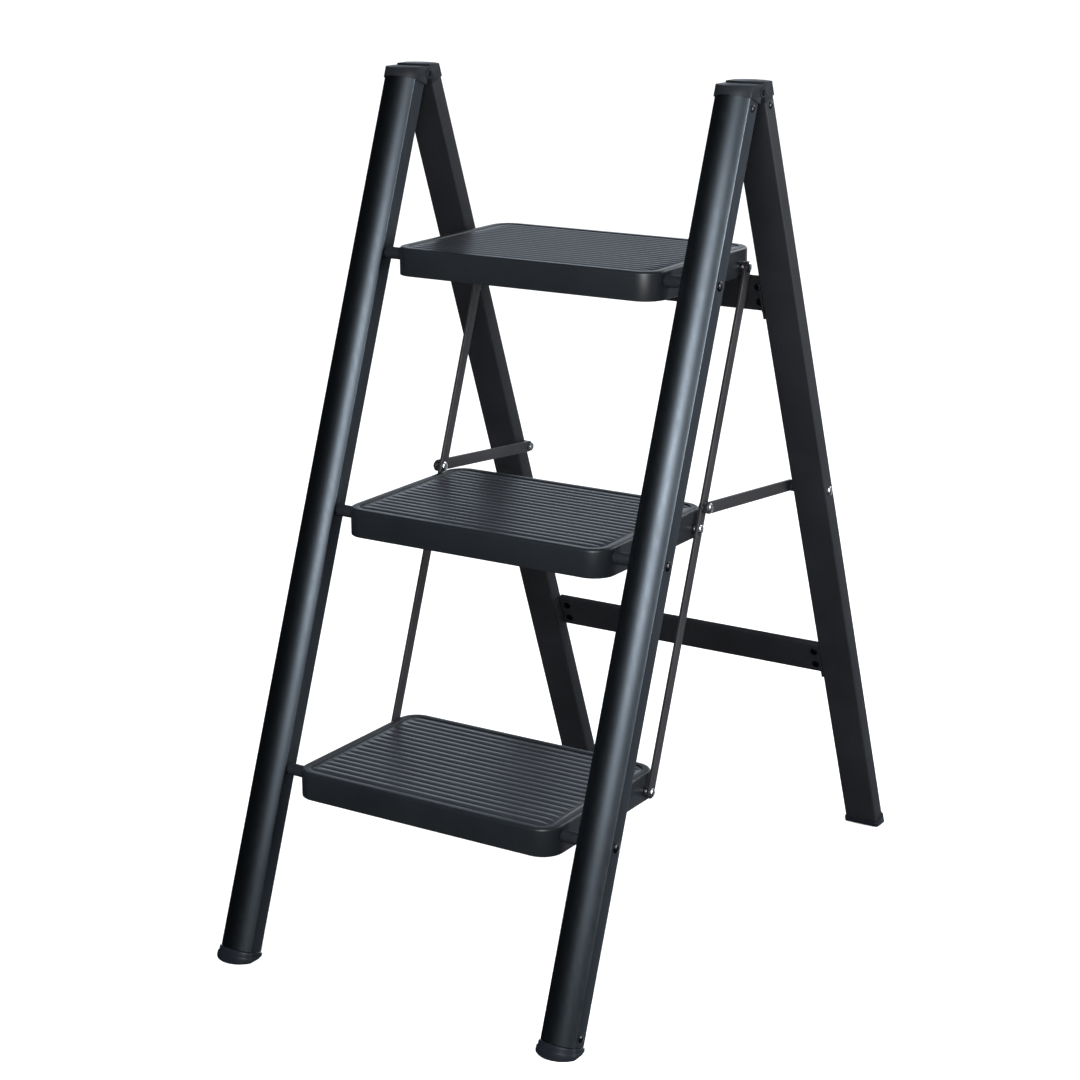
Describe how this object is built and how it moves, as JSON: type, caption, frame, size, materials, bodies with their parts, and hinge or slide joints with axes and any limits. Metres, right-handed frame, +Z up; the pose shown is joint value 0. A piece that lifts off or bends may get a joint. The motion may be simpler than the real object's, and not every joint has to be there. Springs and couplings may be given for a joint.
{
  "type": "folding step ladder",
  "caption": "Free-standing folding step ladder: leaning D-section stiles with flat ribbed treads, a hinged rear frame and link bars that fold the treads up.",
  "frame": {"origin": "on the floor, midway between the two sides and midway between the front and rear feet", "axes": "+Z up, the climbing side faces -Y, +X to the climber's right"},
  "size_m": [0.42, 0.6877, 0.8525],
  "materials": {
    "anodised_stile": "satin blue-black anodised extrusion",
    "black_leg": "matt black powder coat",
    "black_plastic": "moulded black nylon",
    "foot_plastic": "moulded black plastic feet",
    "black_screw": "blackened steel screws",
    "zinc": "bright zinc plate",
    "tread_enamel": "satin black enamel",
    "mat_rubber": "ribbed black rubber",
    "black_bar": "black coated flat steel"
  },
  "bodies": {
    "front_frame": {"stile_left": "anodised_stile", "stile_right": "anodised_stile", "front_cap_left": "black_plastic", "front_cap_right": "black_plastic", "hinge_pins": "black_screw", "front_foot_left": "foot_plastic", "front_foot_right": "foot_plastic", "front_screws": "black_screw", "axle_1": "black_screw", "axle_2": "black_screw", "axle_3": "black_screw", "axle_spacers": "black_plastic"},
    "rear_frame": {"leg_left": "black_leg", "leg_right": "black_leg", "rear_cap_left": "black_plastic", "rear_cap_right": "black_plastic", "rear_foot_left": "foot_plastic", "rear_foot_right": "foot_plastic", "rear_screws": "black_screw", "crossbar_upper": "black_leg", "crossbar_lower": "black_leg", "crossbar_brackets": "black_leg", "crossbar_rivets": "black_screw", "strut_bolts": "zinc", "strut_spacers": "black_plastic", "strut_nuts": "zinc"},
    "step_1": {"tread_1": "tread_enamel", "mat_1": "mat_rubber", "stiffener_1": "tread_enamel", "axle_bushes_1": "black_plastic", "link_rivets_1": "zinc"},
    "step_2": {"tread_2": "tread_enamel", "mat_2": "mat_rubber", "stiffener_2": "tread_enamel", "axle_bushes_2": "black_plastic", "link_rivets_2": "zinc"},
    "step_3": {"tread_3": "tread_enamel", "mat_3": "mat_rubber", "stiffener_3": "tread_enamel", "axle_bushes_3": "black_plastic", "link_rivets_3": "zinc"},
    "links": {"link_bar_left": "black_bar", "link_bar_right": "black_bar", "link_washers": "zinc", "link_pins": "zinc"},
    "struts": {"strut_left": "black_bar", "strut_right": "black_bar", "strut_pins": "zinc"}
  },
  "joints": [
    {"name": "rear_fold", "type": "hinge", "parent": "front_frame", "child": "rear_frame", "pos_m": [0, 0.0012, 0.843], "axis": [-1, 0, 0], "range_deg": [0, 36]},
    {"name": "step_1_fold", "type": "hinge", "parent": "front_frame", "child": "step_1", "pos_m": [0, -0.25548, 0.181], "axis": [1, 0, 0], "range_deg": [0, 60.5]},
    {"name": "step_2_fold", "type": "hinge", "parent": "front_frame", "child": "step_2", "pos_m": [0, -0.16496, 0.427], "axis": [1, 0, 0], "range_deg": [0, 60.5]},
    {"name": "step_3_fold", "type": "hinge", "parent": "front_frame", "child": "step_3", "pos_m": [0, -0.07445, 0.673], "axis": [1, 0, 0], "range_deg": [0, 60.5]},
    {"name": "link_fold", "type": "hinge", "parent": "step_2", "child": "links", "pos_m": [0, -0.01216, 0.4185], "axis": [-1, 0, 0], "range_deg": [0, 60.5]},
    {"name": "strut_swing", "type": "hinge", "parent": "rear_frame", "child": "struts", "pos_m": [0, 0.17015, 0.424], "axis": [-1, 0, 0], "range_deg": [0, 60.1]}
  ],
  "couplings": [
    {"joint": "step_1_fold", "follows": "rear_fold", "ratio": 1.6803},
    {"joint": "step_2_fold", "follows": "rear_fold", "ratio": 1.6803},
    {"joint": "step_3_fold", "follows": "rear_fold", "ratio": 1.6803},
    {"joint": "link_fold", "follows": "rear_fold", "ratio": 1.6803},
    {"joint": "strut_swing", "follows": "rear_fold", "ratio": 1.6685}
  ]
}
